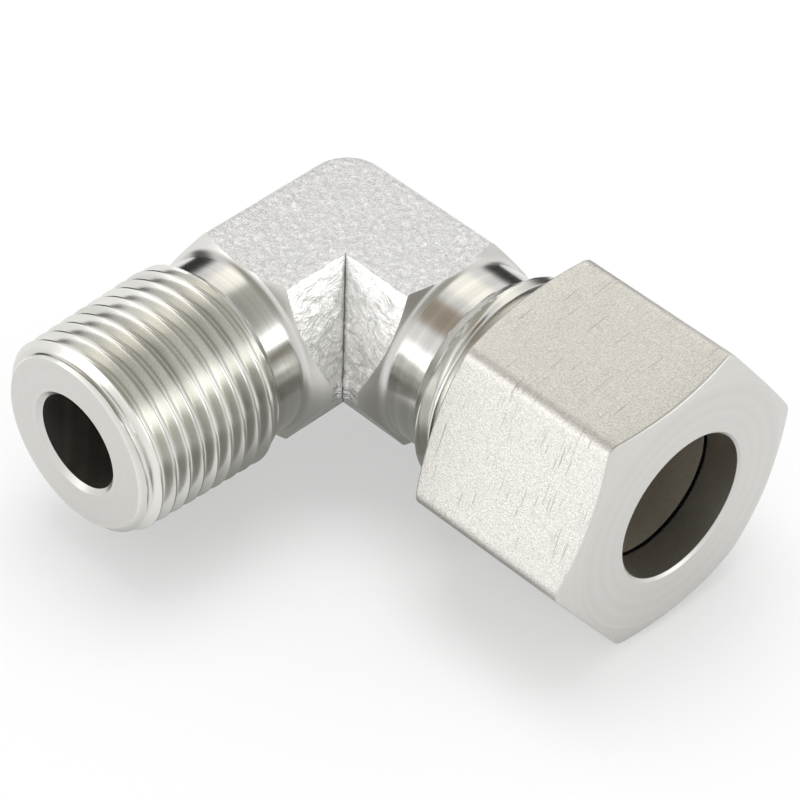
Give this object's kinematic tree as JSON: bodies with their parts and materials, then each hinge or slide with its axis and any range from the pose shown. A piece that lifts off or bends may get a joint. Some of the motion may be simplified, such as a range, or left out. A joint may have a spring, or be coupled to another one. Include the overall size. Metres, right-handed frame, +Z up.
{
  "type": "male stud elbow",
  "caption": "Right-angle tube elbow with a taper-threaded stud, a hexagon union nut and a cutting ring that grips a plain metal tube.",
  "frame": {"origin": "on the stud's axis, in the gauge plane of its taper thread, which is flush with the port's face when the stud is screwed in by hand", "axes": "-Y along the stud out of the fitting, +X along the tube socket and the union nut out of the fitting, +Z up, square to both bores"},
  "size_m": [0.0448, 0.0405, 0.0232],
  "materials": {
    "body_steel": "forged and blasted block with turned ends",
    "nut_steel": "fine blasted with turned end face",
    "ring_steel": "hardened and turned"
  },
  "bodies": {
    "elbow": {"elbow_body": "body_steel"},
    "ring": {"cutting_ring": "ring_steel"},
    "nut": {"union_nut": "nut_steel"}
  },
  "joints": [
    {"name": "ring_advance", "type": "slide", "parent": "elbow", "child": "ring", "axis": [1, 0, 0], "range_m": [0, 0.0042]},
    {"name": "nut_turn", "type": "hinge", "parent": "ring", "child": "nut", "pos_m": [0.0275, 0.0216, 0], "axis": [1, 0, 0], "range_deg": [0, 1008]}
  ],
  "couplings": [
    {"joint": "ring_advance", "follows": "nut_turn", "m_per_rad": 0.00023873}
  ]
}
